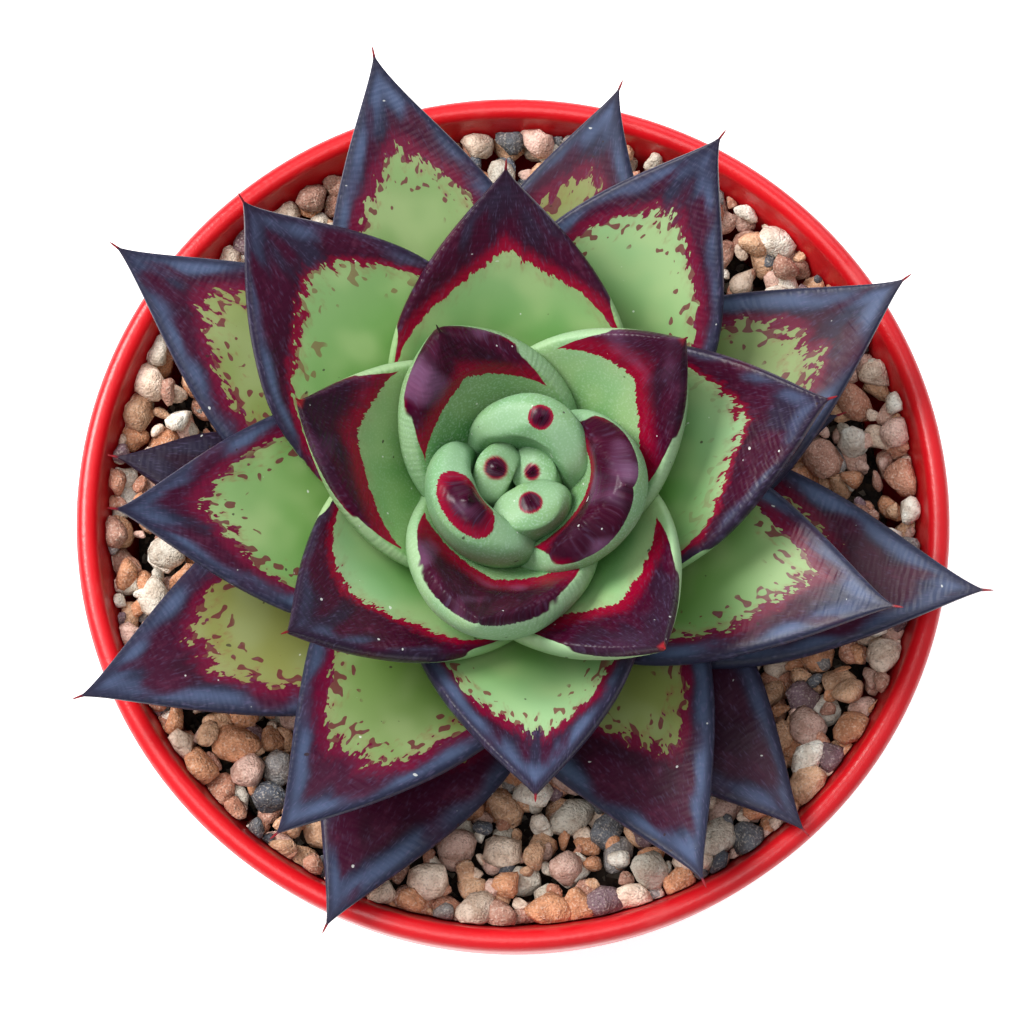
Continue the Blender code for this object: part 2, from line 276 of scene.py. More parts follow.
def parts_of(tree, socket):
    """The three numbers of a vector."""
    node = add_node(tree, "ShaderNodeSeparateXYZ", {0: socket})
    return out(tree, node, 0), out(tree, node, 1), out(tree, node, 2)


def clouds(tree, where, scale, detail=2.0, roughness=0.5):
    """Noise of about 0 to 1 round 0.5."""
    sizes = {"Vector": where, "Scale": scale, "Detail": detail, "Roughness": roughness}
    return out(tree, add_node(tree, "ShaderNodeTexNoise", sizes), 0)


def cells(tree, where, scale):
    """(distance from the nearest of scattered points, a random number for each point)"""
    node = add_node(tree, "ShaderNodeTexVoronoi", {"Vector": where, "Scale": scale})
    return out(tree, node, "Distance"), parts_of(tree, node.outputs["Color"])[0]


def blend(tree, share, first, second, mode="MIX"):
    """A colour mixed from two."""
    node = add_node(tree, "ShaderNodeMix", data_type="RGBA", blend_type=mode, clamp_factor=True)
    put(tree, node, "Factor", share)
    put(tree, node, "A", first)
    put(tree, node, "B", second)
    return next(s for s in node.outputs if s.enabled)


def ramp_of(tree, share, stops):
    """A colour read off stops of (place, colour)."""
    node = add_node(tree, "ShaderNodeValToRGB", {0: share})
    keys = node.color_ramp.elements
    while len(keys) < len(stops):
        keys.new(1.0)
    for key, (place, colour) in zip(keys, stops):
        key.position = place
        key.color = colour
    return node.outputs[0]


def relief(tree, shader, height, distance):
    """Gives a shader a bump from a height of about 0 to 1, over a distance in metres."""
    bump = add_node(tree, "ShaderNodeBump", {"Strength": 1.0, "Distance": distance, "Height": height})
    tree.links.new(bump.outputs[0], shader.inputs["Normal"])


def object_place(tree):
    return add_node(tree, "ShaderNodeTexCoord").outputs["Object"]


def turned(name, profile, steps, material, axis=(0.0, 0.0), wobble=None):
    """A body of revolution from (radius, height) points, given anticlockwise round its section."""
    points = []
    rings = []
    for radius, height in profile:
        if radius < 1e-7:
            rings.append([len(points)] * steps)
            points.append((axis[0], axis[1], height))
            continue
        rings.append(list(range(len(points), len(points) + steps)))
        for i in range(steps):
            angle = math.tau * i / steps
            x, y, z = radius * math.cos(angle), radius * math.sin(angle), height
            if wobble:
                x, y, z = wobble(x, y, z)
            points.append((axis[0] + x, axis[1] + y, z))
    faces = []
    closed = profile[0][0] > 1e-7
    pairs = list(zip(rings, rings[1:])) + ([(rings[-1], rings[0])] if closed else [])
    for ring, next_ring in pairs:
        for i in range(steps):
            j = (i + 1) % steps
            face = (ring[i], ring[j], next_ring[j], next_ring[i])
            corners = list(dict.fromkeys(face))
            if len(corners) > 2:
                faces.append(corners)
    return solid(name, points, faces, material)


def wall_radius(height):
    """The pot's inner wall at a height above the floor."""
    return RIM_RADIUS - LIP_WIDTH - WALL_DRAFT * (POT_HEIGHT - LIP_WIDTH / 2 - height)


def rounded(points, radius, steps=4):
    """A profile with each of its marked corners cut to a small curve. points are (x, y, rounded)."""
    made = []
    for i, (x, y, soft) in enumerate(points):
        if not soft:
            made.append((x, y))
            continue
        here = Vector((x, y))
        before = Vector(points[i - 1][:2]) - here
        after = Vector(points[(i + 1) % len(points)][:2]) - here
        reach = min(radius, before.length / 2.2, after.length / 2.2)
        start = here + reach * before.normalized()
        end = here + reach * after.normalized()
        for j in range(steps + 1):
            share = j / steps
            point = (1 - share) ** 2 * start + 2 * share * (1 - share) * here + share**2 * end
            made.append((point.x, point.y))
    return made


def red_plastic():
    """Glossy red, duller and paler where it is scuffed and where water has dried on the inside, and darkened
    down the inner wall below the lip by painted shade.
    """
    made, tree, shader = finish("red plastic", paint(214, 18, 30), 0.3)
    where = object_place(tree)
    x, y, z = parts_of(tree, where)
    angle = x.math("ARCTAN2", y, x)
    radius = x.math("SQRT", x * x + y * y)
    around = vector(tree, angle * 0.07, z * 6.0, radius * 0.6)
    scuffs = clouds(tree, around, 90.0, 3.0, 0.6).step(0.52, 0.8)
    mottle = clouds(tree, where, 60.0, 1.0)
    inner = (wall_radius(POT_HEIGHT) - 0.0004 - radius).step(-0.0006, 0.0006)
    # The inner wall below the lip: painted shade darkens it, and the dried water marks lie on it
    level = (POT_HEIGHT - 0.004 - z).step(0.0, 0.006) * inner
    marks = clouds(tree, vector(tree, angle * 0.07, z * 0.25, 0.0), 160.0, 2.0, 0.65).step(0.5, 0.78) * level
    colour = blend(tree, mottle.step(0.3, 0.75) * 0.5, paint(206, 14, 26), paint(222, 26, 36))
    colour = blend(tree, scuffs * 0.10, colour, paint(255, 170, 165))
    # Painted shade: the inner wall below the lip is darkened as if it lay in shadow
    colour = blend(tree, level * 0.55, colour, paint(120, 2, 8))
    colour = blend(tree, marks * 0.06, colour, paint(206, 130, 120))
    put(tree, shader, "Base Color", colour)
    put(tree, shader, "Roughness", 0.27 + 0.10 * mottle + 0.22 * scuffs + 0.2 * marks)
    peel = clouds(tree, where, 1500.0, 1.0)
    relief(tree, shader, peel, 0.00004)
    return made


lip = LIP_WIDTH / 2
LIP_STEPS = 14
lip_roll = [
    (RIM_RADIUS - lip + lip * math.cos(turn), POT_HEIGHT - lip + lip * math.sin(turn), False)
    for turn in (math.pi * i / LIP_STEPS for i in range(LIP_STEPS, -1, -1))
]
collar_foot = POT_HEIGHT - COLLAR_HEIGHT
wall_top = wall_radius(collar_foot) + POT_WALL
foot_inner = BASE_RADIUS - FOOT_WIDTH
pot_profile = rounded(
    lip_roll
    + [
        (RIM_RADIUS - COLLAR_TAPER, collar_foot, True),
        (wall_top, collar_foot, True),
        (BASE_RADIUS + 0.0001, 0.0, True),
        (foot_inner, 0.0, True),
        (foot_inner - 0.001, FOOT_RECESS, True),
        (PAD_RADIUS + 0.001, FOOT_RECESS, True),
        (PAD_RADIUS, 0.0, True),
        (0.0, 0.0, False),
        (0.0, POT_FLOOR, False),
        (wall_radius(POT_FLOOR), POT_FLOOR, True),
    ],
    MOULD_ROUND,
)
pot = turned("pot_shell", pot_profile[::-1], POT_STEPS, red_plastic())
drains = bmesh.new()
for i in range(DRAIN_COUNT):
    angle = math.tau * i / DRAIN_COUNT
    place = Vector((DRAIN_CIRCLE * math.cos(angle), DRAIN_CIRCLE * math.sin(angle), POT_FLOOR))
    bmesh.ops.create_cone(
        drains,
        cap_ends=True,
        segments=32,
        radius1=DRAIN_RADIUS,
        radius2=DRAIN_RADIUS,
        depth=4 * POT_FLOOR,
        matrix=Matrix.Translation(place),
    )
drain_mesh = bpy.data.meshes.new("drains")
drains.to_mesh(drain_mesh)
drains.free()
drain_holes = bpy.data.objects.new("drains", drain_mesh)
scene.collection.objects.link(drain_holes)


def settle(piece):
    """Makes the result of a piece's modifiers its own mesh."""
    bpy.context.view_layer.update()
    graph = bpy.context.evaluated_depsgraph_get()
    mesh = bpy.data.meshes.new_from_object(
        piece.evaluated_get(graph), preserve_all_data_layers=True, depsgraph=graph
    )
    piece.modifiers.clear()
    piece.data = mesh


drilled = pot.modifiers.new("drains", "BOOLEAN")
drilled.object = drain_holes
drilled.solver = "MANIFOLD"
settle(pot)
pot.data.set_sharp_from_angle(angle=math.radians(SHARP_ANGLE))
bpy.data.objects.remove(drain_holes)
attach(pot, "root")
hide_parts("pot")


# The soil: dark, crumbly potting mix, packed into the pot under the stones and round the root. Only its
# top shows, in the gaps between the stones, and its underside through the drain holes.

FIT = 0.0003
SOIL_DEPTH = 0.0205
SOIL_CRUMB = 0.0007
SOIL_RINGS = 22
STEM_AXIS = (0.0005, -0.0010)
STEM_RADIUS = 0.0110
ROOT_RADIUS = 0.0070
ROOT_TIP_RADIUS = 0.0030
ROOT_DEPTH = 0.045


def crumbled(x, y, z):
    """A point of the soil's surface pushed in a little, unevenly."""
    deep = SOIL_CRUMB * (noise.fractal(Vector((x, y, z)) * 320, 0.9, 2.1, 3) - 0.9)
    inward = 1 + 0.4 * deep / max(math.hypot(x, y), 0.004)
    return x * inward, y * inward, z + min(deep, 0.0)


def potting_soil():
    made, tree, shader = finish("potting soil", paint(48, 38, 32), 0.95)
    where = object_place(tree)
    crumbs, chance = cells(tree, where, 900.0)
    damp = clouds(tree, where, 140.0, 4.0, 0.6)
    colour = ramp_of(
        tree,
        chance,
        (
            (0.0, paint(30, 23, 19)),
            (0.5, paint(52, 40, 32)),
            (0.85, paint(78, 60, 46)),
            (0.97, paint(150, 140, 125)),
        ),
    )
    colour = blend(tree, damp.step(0.35, 0.7) * 0.6, colour, paint(28, 22, 19))
    put(tree, shader, "Base Color", colour)
    relief(tree, shader, crumbs + damp, 0.0006)
    return made


soil_top = POT_HEIGHT - SOIL_DEPTH
soil_foot = POT_FLOOR + FIT
root_top = ROOT_RADIUS + 0.001
soil_profile = [(wall_radius(soil_foot) - FIT - 0.002, soil_foot)]
soil_profile += [(wall_radius(z) - FIT, z) for z in (soil_foot + 0.002, 0.03, 0.06, soil_top - 0.001)]
soil_profile += [
    (root_top + (wall_radius(soil_top) - 0.001 - root_top) * (1 - i / SOIL_RINGS), soil_top)
    for i in range(SOIL_RINGS + 1)
]
soil_profile += [
    (root_top, soil_top - 0.008),
    (ROOT_TIP_RADIUS + 0.001, POT_HEIGHT - ROOT_DEPTH),
    (0.0, POT_HEIGHT - ROOT_DEPTH - 0.001),
]
soil_profile = [(0.0, soil_foot)] + soil_profile
soil = turned("soil_fill", soil_profile, 128, potting_soil(), wobble=crumbled)
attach(soil, "root")
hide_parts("soil")


# The gravel: loose river stones of 3 to 7 mm, brown, pink, cream, grey and slate, spread by hand over
# the soil in two layers, with grit of 2 to 3 mm in the gaps. They fill the pot from the stem to its wall,
# and each lies at its own tilt.

STONE_TOP_DEPTH = 0.0018
STONE_SPACING = 0.0046
STONE_SEED = 5
STONE_LAYERS = (
    # name, its depth under the top, then shares of the spacing: gap, least and greatest radius
    ("Lower", 0.0052, 0.92, 0.44, 0.62),
    ("Upper", 0.0026, 1.06, 0.36, 0.72),
    ("Grit", 0.0044, 0.64, 0.20, 0.34),
)
STONE_BODY = 0.55  # how far a stone reaches from its middle, as a share of its radius
STONE_JITTER = 0.0009
STONES_PER_M2 = 1500000.0
WALL_REACH = 0.0028  # a stone nearer the wall than this is pressed to it
DISH_DEPTH = 0.0065
DISH_START = 0.046
DISH_END = 0.062
DENT_DEPTH = 0.0036


def new_tree(name, sizes):
    """A tree of Geometry Nodes with a named input for each size, its group input and its output node."""
    tree = bpy.data.node_groups.new(name, "GeometryNodeTree")
    tree.interface.new_socket(name="Geometry", in_out="OUTPUT", socket_type="NodeSocketGeometry")
    for size in sizes:
        tree.interface.new_socket(name=size, in_out="INPUT", socket_type="NodeSocketFloat")
    given = tree.nodes.new("NodeGroupInput")
    result = tree.nodes.new("NodeGroupOutput")
    return tree, given, result


def grow(name, tree, sizes):
    """The plain mesh that a tree makes from its named sizes, as an object of its own."""
    made = bpy.data.objects.new(name, bpy.data.meshes.new(name))
    scene.collection.objects.link(made)
    nodes = made.modifiers.new(tree.name, "NODES")
    nodes.node_group = tree
    for item in tree.interface.items_tree:
        if item.in_out == "INPUT" and item.name in sizes:
            nodes[item.identifier] = float(sizes[item.name])
    settle(made)
    made.data.name = name
    return made


def remember(tree, geometry, name, x, y, z):
    """Stores three numbers on each point of a geometry under a name, for a material to read."""
    node = add_node(tree, "GeometryNodeStoreNamedAttribute", data_type="FLOAT_VECTOR", domain="POINT")
    put(tree, node, "Geometry", geometry)
    put(tree, node, "Name", name)
    put(tree, node, "Value", vector(tree, x, y, z))
    return node.outputs[0]


def remembered(tree, name):
    """The three numbers stored under a name, in a material."""
    return parts_of(tree, add_node(tree, "ShaderNodeAttribute", attribute_name=name).outputs["Vector"])


def chance_of(tree, low, high, seed):
    """A random number for each point, the same in every run."""
    node = add_node(tree, "FunctionNodeRandomValue", data_type="FLOAT")
    put(tree, node, "Min", low)
    put(tree, node, "Max", high)
    put(tree, node, "Seed", seed)
    return out(tree, node, "Value")


def river_stone():
    """One stone's colour from its own number, clouded, speckled and dusty, with a dull surface."""
    made, tree, shader = finish("river stones", paint(165, 120, 95), 0.8)
    where = object_place(tree)
    own, shade, _ = remembered(tree, "stone_look")
    colour = ramp_of(
        tree,
        own,
        (
            (0.00, paint(218, 154, 114)),
            (0.11, paint(204, 144, 118)),
            (0.23, paint(228, 180, 144)),
            (0.35, paint(188, 140, 122)),
            (0.45, paint(226, 186, 172)),
            (0.57, paint(240, 216, 196)),
            (0.67, paint(252, 246, 234)),
            (0.75, paint(220, 212, 198)),
            (0.82, paint(150, 146, 146)),
            (0.88, paint(106, 110, 118)),
            (0.93, paint(88, 94, 106)),
            (0.97, paint(140, 112, 122)),
        ),
    )
    colour.node.color_ramp.interpolation = "CONSTANT"
    patches = clouds(tree, where, 420.0, 3.0, 0.62)
    grain = clouds(tree, where, 2600.0, 1.0, 0.6)
    darker = blend(tree, 1.0, colour, paint(190, 172, 160), "MULTIPLY")
    colour = blend(tree, patches.step(0.36, 0.66) * 0.75, colour, darker)
    colour = blend(tree, (grain - 0.5).step(0.02, 0.22) * 0.35, colour, paint(240, 226, 210))
    colour = blend(tree, (0.47 - grain).step(0.02, 0.2) * 0.35, colour, paint(70, 56, 50))
    shaded = blend(tree, 1.0, colour, vector(tree, shade, shade, shade), "MULTIPLY")
    put(tree, shader, "Base Color", shaded)
    put(tree, shader, "Roughness", 0.62 + 0.25 * patches)
    relief(tree, shader, patches * 2.2 + grain * 0.8, 0.00035)
    return made


def gravel_tree(stone):
    """Stones scattered over a disc in layers, each dented and with its own size and tilt."""
    sizes = ("Radius", "Hole", "Spacing", "Lower", "Upper", "Grit", "Dish", "Dent", "Seed")
    tree, given, result = new_tree("gravel", sizes)
    size = {name: out(tree, given, name) for name in sizes}
    outline = {"Vertices": 96, "Radius": size["Radius"]}
    disc = add_node(tree, "GeometryNodeMeshCircle", outline, fill_type="TRIANGLE_FAN")
    layers = add_node(tree, "GeometryNodeJoinGeometry")
    for layer, (level, _, gap, small, large) in enumerate(STONE_LAYERS):
        points = add_node(tree, "GeometryNodeDistributePointsOnFaces", distribute_method="POISSON")
        put(tree, points, "Mesh", disc.outputs["Mesh"])
        put(tree, points, "Distance Min", size["Spacing"] * gap)
        put(tree, points, "Density Max", STONES_PER_M2)
        put(tree, points, "Density Factor", 1.0)
        put(tree, points, "Seed", size["Seed"] + layer * 3.0)
        x, y, _ = parts_of(tree, add_node(tree, "GeometryNodeInputPosition").outputs[0])
        from_axis = x.math("SQRT", x * x + y * y)
        kept = from_axis.math("GREATER_THAN", from_axis, size["Hole"])

        # Each draw below has a seed of its own in each layer
        radius = size["Spacing"] * chance_of(tree, small, large, 11 + layer)
        slack = size["Radius"] - from_axis - radius * STONE_BODY
        pressed = slack.least(0.0) + slack.most(0.0) * (WALL_REACH - slack).step(0.0, 0.0006) * 0.9
        inward = 1.0 + pressed / from_axis.most(0.001)
        dished = size["Dish"] * (1.0 - from_axis.step(DISH_START, DISH_END))
        jitter = chance_of(tree, -STONE_JITTER, STONE_JITTER, 21 + layer)
        height = size[level] + jitter - radius * STONE_BODY - dished
        moved = add_node(tree, "GeometryNodeSetPosition", {"Geometry": points.outputs["Points"]})
        put(tree, moved, "Position", vector(tree, x * inward, y * inward, height))
        chosen = {"Geometry": moved.outputs[0], "Selection": kept}
        held = add_node(tree, "GeometryNodeSeparateGeometry", chosen)
        own = chance_of(tree, 0.0, 1.0, 31 + layer)
        shade = chance_of(tree, 0.80, 1.16, 41 + layer)
        named = remember(tree, held.outputs[0], "stone_look", own, shade, 0.0)
        ball = add_node(tree, "GeometryNodeMeshIcoSphere", {"Radius": 1.0, "Subdivisions": 2})
        seats = {"Points": named, "Instance": ball.outputs["Mesh"]}
        placed = add_node(tree, "GeometryNodeInstanceOnPoints", seats)
        tilt = (
            chance_of(tree, -0.5, 0.5, 51 + layer),
            chance_of(tree, -0.5, 0.5, 61 + layer),
            chance_of(tree, 0.0, math.tau, 71 + layer),
        )
        radii = (
            radius * chance_of(tree, 0.95, 1.28, 81 + layer),
            radius * chance_of(tree, 0.78, 1.0, 91 + layer),
            radius * chance_of(tree, 0.62, 0.86, 101 + layer),
        )
        put(tree, placed, "Rotation", vector(tree, *tilt))
        put(tree, placed, "Scale", vector(tree, *radii))
        tree.links.new(placed.outputs[0], layers.inputs[0])

    # Dented by a noise, and kept inside the wall
    real = add_node(tree, "GeometryNodeRealizeInstances", {"Geometry": layers.outputs[0]})
    here = add_node(tree, "GeometryNodeInputPosition").outputs[0]
    nearby = add_node(tree, "ShaderNodeTexNoise", {"Vector": here, "Scale": 260.0, "Detail": 1.5})
    ways = {0: nearby.outputs["Color"], 1: (0.5, 0.5, 0.5)}
    dents = add_node(tree, "ShaderNodeVectorMath", ways, operation="SUBTRACT")
    push = add_node(tree, "ShaderNodeVectorMath", {0: dents.outputs[0]}, operation="SCALE")
    put(tree, push, "Scale", size["Dent"])
    pushed = {"Geometry": real.outputs[0], "Offset": push.outputs[0]}
    dented = add_node(tree, "GeometryNodeSetPosition", pushed)
    x, y, z = parts_of(tree, add_node(tree, "GeometryNodeInputPosition").outputs[0])
    from_axis = x.math("SQRT", x * x + y * y)
    wall = size["Radius"] + WALL_DRAFT * (z - size["Upper"])
    held_in = (wall / from_axis.most(0.001)).least(1.0)
    packed = add_node(tree, "GeometryNodeSetPosition", {"Geometry": dented.outputs[0]})
    put(tree, packed, "Position", vector(tree, x * held_in, y * held_in, z))
    coat(tree, packed, stone, result)
    return tree


def coat(tree, last, material, result):
    """Makes the last node's geometry smooth, gives it its material and hands it to the output."""
    smooth = add_node(tree, "GeometryNodeSetShadeSmooth", {"Geometry": last.outputs[0], "Shade Smooth": True})
    coated = add_node(tree, "GeometryNodeSetMaterial", {"Geometry": smooth.outputs[0], "Material": material})
    tree.links.new(coated.outputs[0], result.inputs[0])


stone_top = POT_HEIGHT - STONE_TOP_DEPTH
stone_levels = {name: stone_top - depth for name, depth, *_ in STONE_LAYERS}
gravel = grow(
    "gravel_stones",
    gravel_tree(river_stone()),
    {
        "Radius": wall_radius(stone_levels["Upper"]) - FIT,
        "Hole": STEM_RADIUS + 0.004,
        "Spacing": STONE_SPACING,
        **stone_levels,
        "Dish": DISH_DEPTH,
        "Dent": DENT_DEPTH,
        "Seed": STONE_SEED,
    },
)
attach(gravel, "root")
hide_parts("gravel")


# The stem: a short, thick, corky stem with the scars of leaves long fallen, which tapers to a root in
# the soil. It grew so, and all the leaves grow from its dome.

DOME_FOOT = -0.0020
DOME_HEIGHT = 0.0190
BED_DEPTH = 0.0145
SCAR_DEPTH = 0.00018
ROOT_RINGS = 10
SIDE_RINGS = 16
DOME_RINGS = 20


def scarred(x, y, z):
    """A point of the stem pushed in along the leaf scars, which run round it in a low spiral."""
    height = z - POT_HEIGHT
    angle = math.atan2(y, x)
    scars = math.sin(5 * angle + height * 1900) * math.sin(-3 * angle + height * 1900)
    deep = SCAR_DEPTH * (scars - 1) + 0.0002 * (noise.noise(Vector((x, y, z)) * 500) - 0.5)
    inward = 1 + min(deep, 0.0) / max(math.hypot(x, y), 0.002)
    return x * inward, y * inward, z


def stem_bark():
    made, tree, shader = finish("stem bark", paint(120, 108, 70), 0.75)
    where = object_place(tree)
    _, _, z = parts_of(tree, where)
    green = (z - (POT_HEIGHT + 0.001)).step(0.0, 0.010)
    cork = clouds(tree, where, 520.0, 5.0, 0.6)
    colour = blend(tree, cork.step(0.35, 0.7), paint(92, 78, 54), paint(150, 132, 96))
    colour = blend(tree, green, colour, paint(138, 160, 92))
    colour = blend(tree, (POT_HEIGHT - 0.02 - z).step(0.0, 0.002), colour, paint(70, 50, 36))
    put(tree, shader, "Base Color", colour)
    relief(tree, shader, cork, 0.0004)
    return made


dome_foot = POT_HEIGHT + DOME_FOOT
root_start = POT_HEIGHT - ROOT_DEPTH + 0.0005
root_step = (ROOT_RADIUS - ROOT_TIP_RADIUS) / ROOT_RINGS
side_step = (BED_DEPTH + DOME_FOOT) / SIDE_RINGS
stem_profile = [(0.0, POT_HEIGHT - ROOT_DEPTH)]
stem_profile += [(ROOT_TIP_RADIUS + root_step * i, root_start + 0.00175 * i) for i in range(ROOT_RINGS + 1)]
stem_profile += [(ROOT_RADIUS, soil_top - 0.005), (ROOT_RADIUS, soil_top + 0.0008)]
stem_profile += [(STEM_RADIUS, POT_HEIGHT - BED_DEPTH + side_step * i) for i in range(SIDE_RINGS + 1)]
stem_profile += [
    (STEM_RADIUS * math.cos(turn), dome_foot + DOME_HEIGHT * math.sin(turn))
    for turn in (math.pi / 2 * i / DOME_RINGS for i in range(1, DOME_RINGS))
]
stem_profile += [(0.0, dome_foot + DOME_HEIGHT)]
stem = turned("stem_and_root", stem_profile, 96, stem_bark(), axis=STEM_AXIS, wobble=scarred)
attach(stem, "root")
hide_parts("stem")


# The leaves: 32 thick, pointed, water-filled leaves in a spiral, youngest in the bud. Each is pale waxy
# green with a dark wine to slate band down both margins, and ends in a small red spine. They grew so.

# Azimuth of the blade, the tip's distance from the stem's axis, the tip's height over the rim, half the
# width, and how far the tip swings sideways; then how far from the tip the green starts, in mm, at five
# places from the left margin to the right, and how pale the green is
LEAVES = (
    (150, 0.0034, 0.0280, 0.0052, 0, (2.2, 2.2, 2.2, 2.2, 2.2), 0.55),
    (20, 0.0024, 0.0265, 0.0048, 0, (1.6, 1.6, 1.6, 1.6, 1.6), 0.55),
    (288, 0.0048, 0.0305, 0.0066, 0, (2.4, 2.4, 2.4, 2.4, 2.4), 0.60),
    (60, 0.0086, 0.0335, 0.0112, 0, (3.0, 3.4, 3.8, 3.6, 3.4), 0.70),
    (209, 0.0088, 0.0345, 0.0134, 0, (3.5, 6.5, 11.0, 8.0, 4.0), 0.75),
    (342, 0.0165, 0.0370, 0.0166, 0, (10.3, 8.2, 9.8, 11.5, 12.0), 0.70),
    (110, 0.0235, 0.0410, 0.0180, 5, (16.0, 14.0, 10.8, 12.6, 14.6), 0.45),
    (251, 0.0250, 0.0390, 0.0190, 0, (15.0, 16.2, 15.0, 17.4, 17.0), 0.80),
    (35, 0.0315, 0.0400, 0.0210, -5, (15.6, 13.2, 12.6, 17.8, 19.5), 0.75),
    (161, 0.0340, 0.0410, 0.0220, -2, (19.8, 17.2, 13.4, 13.8, 13.6), 0.40),
    (302, 0.0360, 0.0400, 0.0220, -1, (19.8, 18.2, 16.6, 20.4, 20.0), 0.85),
    (88, 0.0465, 0.0400, 0.0240, -2, (23.0, 18.8, 14.4, 18.0, 21.0), 0.45),
    (212, 0.0435, 0.0380, 0.0240, -1, (22.5, 21.4, 17.2, 16.8, 18.5), 0.85),
    (9, 0.0490, 0.0370, 0.0240, -3, (23.0, 17.5, 16.2, 21.5, 23.5), 0.80),
    (133, 0.0600, 0.0360, 0.0215, -4, (27.8, 22.5, 17.8, 17.8, 24.8), 0.35),
    (269, 0.0505, 0.0340, 0.0245, -2, (18.8, 14.6, 13.7, 16.6, 20.2), 0.75),
    (58, 0.0625, 0.0330, 0.0210, -5, (24.8, 18.2, 15.5, 18.8, 26.8), 0.60),
    (179, 0.0620, 0.0300, 0.0230, 0, (25.8, 20.0, 16.0, 16.0, 23.8), 0.30),
    (334, 0.0615, 0.0270, 0.0235, 1, (19.8, 14.4, 17.7, 21.8, 25.8), 0.40),
    (105, 0.0735, 0.0260, 0.0215, -3, (25.8, 19.8, 16.0, 18.8, 25.8), 0.30),
    (234, 0.0660, 0.0240, 0.0230, -4, (23.8, 19.4, 20.7, 19.2, 23.8), 0.30),
    (22, 0.0705, 0.0210, 0.0215, 1, (27.8, 21.0, 20.5, 19.5, 27.8), 0.35),
    (142, 0.0755, 0.0190, 0.0215, 0, (28.8, 21.8, 18.0, 18.5, 27.8), 0.20),
    (291, 0.0675, 0.0170, 0.0230, -2, (30.5, 23.0, 27.0, 35.0, 40.5), 0.20),
    (75, 0.0705, 0.0150, 0.0200, -5, (25.8, 18.5, 16.0, 18.5, 25.8), 0.15),
    (199, 0.0755, 0.0140, 0.0220, 0, (28.8, 22.8, 22.5, 22.5, 28.8), 0.10),
    (341, 0.0755, 0.0120, 0.0210, 2, (33.8, 27.5, 25.5, 28.5, 35.8), 0.10),
    (121, 0.0600, 0.0060, 0.0170, 0, (31.8, 25.5, 22.5, 25.5, 31.8), 0.10),
    (240, 0.0735, 0.0070, 0.0190, 0, (40.5, 34.0, 31.0, 34.0, 40.5), 0.10),
    (12, 0.0560, 0.0000, 0.0140, 0, (31.8, 25.5, 22.5, 25.5, 31.8), 0.10),
    (166, 0.0660, 0.0040, 0.0080, 0, (90.0, 90.0, 90.0, 90.0, 90.0), -1.0),
    (306, 0.0690, 0.0060, 0.0170, -1, (44.5, 37.0, 35.0, 37.0, 44.5), -0.45),
)
FIRST_SEAT = 0.0020
SEAT_STEP = 0.00087
SEAT_SINK = 0.0012
BASE_HALF_WIDTH = 0.0060
BASE_SHARE = 0.45
LEAF_RINGS = 54
LEAF_SIDES = 64
FLARE = 3.4
OUTLINE_POWER = 5.0
UPPER_CURVE = 3.2
PACKED_SHARE = 0.46
SPINE_RADIUS = 0.00026
SWELL = 0.0007
MERGE_DISTANCE = 0.000004

# Form of the leaves as (leaf number, value) knots
LEAF_KNOTS = {
    "Bend": ((1, 22), (3, 26), (4, 30), (5, 38), (6, 26), (9, 18), (14, 14), (29, 11), (31, 5)),
    "Elbow": ((3, 0.48), (5, 0.62), (6, 0.52), (7, 0.48)),
    "Blunt": ((1, 0.006), (3, 0.007), (4, 0.010), (5, 0.009), (6, 0.006), (7, 0.0002), (8, 0.0012), (9, 0.0)),
    "Lower round": ((6, 2.4), (9, 1.8)),
    "Spot": ((1, 1.95), (2, 1.4), (3, 2.0), (4, 2.1), (5, 4.4), (6, 0.0)),
    "Spot stretch": ((4, 1.0), (5, 0.62), (6, 1.0)),
    "Thickness": (
        (1, 0.0060), (3, 0.0078), (4, 0.0070), (6, 0.0080), (9, 0.0066), (12, 0.0063), (29, 0.0063),
        (31, 0.0046), (32, 0.0060),
    ),
    "Upper share": ((1, 0.5), (6, 0.5), (9, 0.3)),
    "Wrap": ((1, 2.4), (3, 1.3), (5, 0.8)),
    "Cup": ((1, 0.02), (5, 0.05), (10, 0.10)),
    "Taper": ((1, 1.1), (6, 1.05), (9, 1.1), (11, 1.0), (13, 0.92), (16, 0.80), (20, 0.62), (32, 0.56)),
    "Waist": ((1, 0.20), (6, 0.22), (7, 0.60), (8, 0.24), (9, 0.46), (12, 0.52), (17, 0.52), (20, 0.46)),
    "Waist run": ((1, 0.003), (7, 0.005), (10, 0.006), (14, 0.008), (20, 0.010)),
    "Spine": ((1, 0.0003), (6, 0.0005), (7, 0.0034), (8, 0.0004), (9, 0.0012), (11, 0.0010), (12, 0.0026)),
    "Rim at tip": (
        (5, -40.0), (6, -1.3), (7, -1.2), (8, -0.3), (9, -1.2), (11, -1.3), (12, -4.0), (14, -5.0),
    ),
    "Rim at end": (
        (5, -40.0), (6, 1.0), (7, 1.5), (8, 0.9), (9, 2.4), (10, 1.4), (11, 2.4), (12, 0.8), (15, 0.0),
        (17, -1.0),
    ),
    "Margin": ((10, 0.0), (12, 2.8), (14, 4.0), (18, 5.0), (22, 5.6)),
    "Margin run": ((12, 12.0), (15, 20.0), (18, 34.0), (32, 40.0)),
    "Ragged": ((1, 0.1), (4, 0.2), (9, 0.5), (12, 1.0), (15, 2.6), (22, 4.4)),
}


def knotted(number, knots):
    """The value read off straight lines between (leaf number, value) knots."""
    if number <= knots[0][0]:
        return knots[0][1]
    for (x0, y0), (x1, y1) in zip(knots, knots[1:]):
        if number <= x1:
            return y0 + (y1 - y0) * (number - x0) / (x1 - x0)
    return knots[-1][1]


